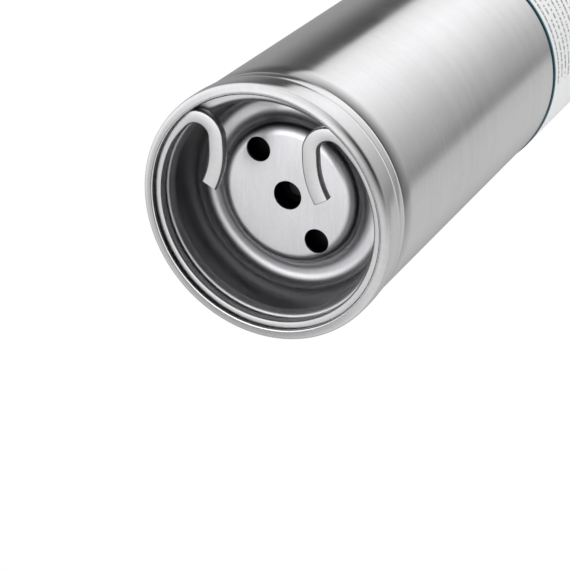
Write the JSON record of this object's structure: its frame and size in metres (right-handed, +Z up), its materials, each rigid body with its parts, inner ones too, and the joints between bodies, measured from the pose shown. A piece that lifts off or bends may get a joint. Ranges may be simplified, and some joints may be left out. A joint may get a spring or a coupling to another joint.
{
  "type": "sous vide circulator",
  "caption": "Stick immersion circulator: steel skirt tube with recessed intake cup and hooked wire ring, sloped control head and rear screw clamp.",
  "frame": {"origin": "bottom centre of the whole object's box; the skirt tube's axis stands 29 mm in front of it, at x = 0, y = -0.029", "axes": "+Z up along the skirt tube; the sloped control panel faces -Y and the pot clamp is at +Y; +X is the right-hand side seen from behind the panel user"},
  "size_m": [0.08, 0.138, 0.3796],
  "materials": {
    "brushed_stainless": "circumferentially brushed",
    "drawn_stainless": "drawn satin",
    "satin_wire": "satin",
    "label_film": "satin film",
    "seal_rubber": "matt",
    "pad_rubber": "matt",
    "pump_plastic": "moulded",
    "rotor_plastic": "moulded",
    "ground_steel": "ground",
    "heater_sheath": "heat-tinted satin",
    "brass": "machined",
    "aluminium": "satin",
    "motor_can_zinc": "zinc plated",
    "circuit_board": "solder resist",
    "component_black": "moulded",
    "winding_tape": "taped",
    "capacitor_sleeve": "shrink sleeve",
    "shell_plastic": "fine texture",
    "collar_plastic": "fine texture",
    "panel_gloss": "polished",
    "lens_glass": "polished",
    "light_ring_plastic": "frosted",
    "button_plastic": "satin",
    "dial_aluminium": "turned",
    "plated_screw": "plated",
    "bracket_plastic": "fine texture",
    "knob_plastic": "fine texture"
  },
  "bodies": {
    "frame": {"outer_tube": "brushed_stainless", "intake_cup": "drawn_stainless", "retaining_ring": "satin_wire", "label_wrap": "label_film", "cup_gasket": "seal_rubber", "pump_housing": "pump_plastic", "bearing_spider": "pump_plastic", "shaft_bush": "brass", "heating_coil": "heater_sheath", "temperature_probe": "ground_steel", "level_electrode_low": "ground_steel", "level_electrode_high": "ground_steel", "bulkhead_plate": "aluminium", "bulkhead_gasket": "seal_rubber", "shaft_seal": "seal_rubber", "motor_bracket": "aluminium", "motor_can": "motor_can_zinc", "motor_end_cap": "component_black", "main_board": "circuit_board", "power_relay": "component_black", "transformer": "winding_tape", "filter_capacitor": "capacitor_sleeve", "heat_sink": "aluminium", "head_shell_front": "shell_plastic", "head_shell_rear": "shell_plastic", "head_collar": "collar_plastic", "shell_screw_1": "plated_screw", "shell_screw_2": "plated_screw", "shell_screw_3": "plated_screw", "shell_screw_4": "plated_screw", "cable_gland": "seal_rubber", "gland_nut": "aluminium", "top_panel": "panel_gloss", "light_ring": "light_ring_plastic", "display_lens": "lens_glass", "display_module": "component_black", "control_board": "circuit_board", "dial_encoder": "aluminium", "buzzer": "component_black", "clamp_bracket": "bracket_plastic", "clamp_bolt_1": "plated_screw", "clamp_bolt_2": "plated_screw", "wall_pad": "pad_rubber"},
    "rotor": {"motor_shaft": "ground_steel", "impeller": "rotor_plastic", "impeller_nut": "brass", "cooling_fan": "pump_plastic"},
    "dial": {"jog_dial": "dial_aluminium"},
    "start_key": {"button_start": "button_plastic"},
    "timer_key": {"button_timer": "button_plastic"},
    "minus_key": {"button_minus": "button_plastic"},
    "plus_key": {"button_plus": "button_plastic"},
    "clamp_pad": {"pressure_pad": "bracket_plastic", "pad_rubber": "pad_rubber"},
    "clamp_spindle": {"clamp_screw": "ground_steel", "clamp_knob": "knob_plastic"}
  },
  "joints": [
    {"name": "rotor_spin", "type": "hinge", "parent": "frame", "child": "rotor", "pos_m": [0, -0.029, 0.2], "axis": [0, 0, 1], "continuous": true},
    {"name": "dial_turn", "type": "hinge", "parent": "frame", "child": "dial", "pos_m": [0, -0.04293, 0.34225], "axis": [0, -0.5736, 0.8192], "continuous": true},
    {"name": "start_press", "type": "slide", "parent": "frame", "child": "start_key", "axis": [0, -0.5736, 0.8192], "range_m": [-0.0007, 0], "stiffness_N_per_m": 400, "springref_m": 0.0012},
    {"name": "timer_press", "type": "slide", "parent": "frame", "child": "timer_key", "axis": [0, -0.5736, 0.8192], "range_m": [-0.0007, 0], "stiffness_N_per_m": 400, "springref_m": 0.0012},
    {"name": "minus_press", "type": "slide", "parent": "frame", "child": "minus_key", "axis": [0, -0.5736, 0.8192], "range_m": [-0.0007, 0], "stiffness_N_per_m": 400, "springref_m": 0.0012},
    {"name": "plus_press", "type": "slide", "parent": "frame", "child": "plus_key", "axis": [0, -0.5736, 0.8192], "range_m": [-0.0007, 0], "stiffness_N_per_m": 400, "springref_m": 0.0012},
    {"name": "pad_travel", "type": "slide", "parent": "frame", "child": "clamp_pad", "axis": [0, 1, 0], "range_m": [-0.00525, 0.01405]},
    {"name": "clamp_screw_turn", "type": "hinge", "parent": "clamp_pad", "child": "clamp_spindle", "pos_m": [0, 0.05, 0.164], "axis": [0, 1, 0], "range_deg": [-946, 2530]}
  ],
  "couplings": [
    {"joint": "clamp_screw_turn", "follows": "pad_travel", "rad_per_m": 3141.6}
  ]
}
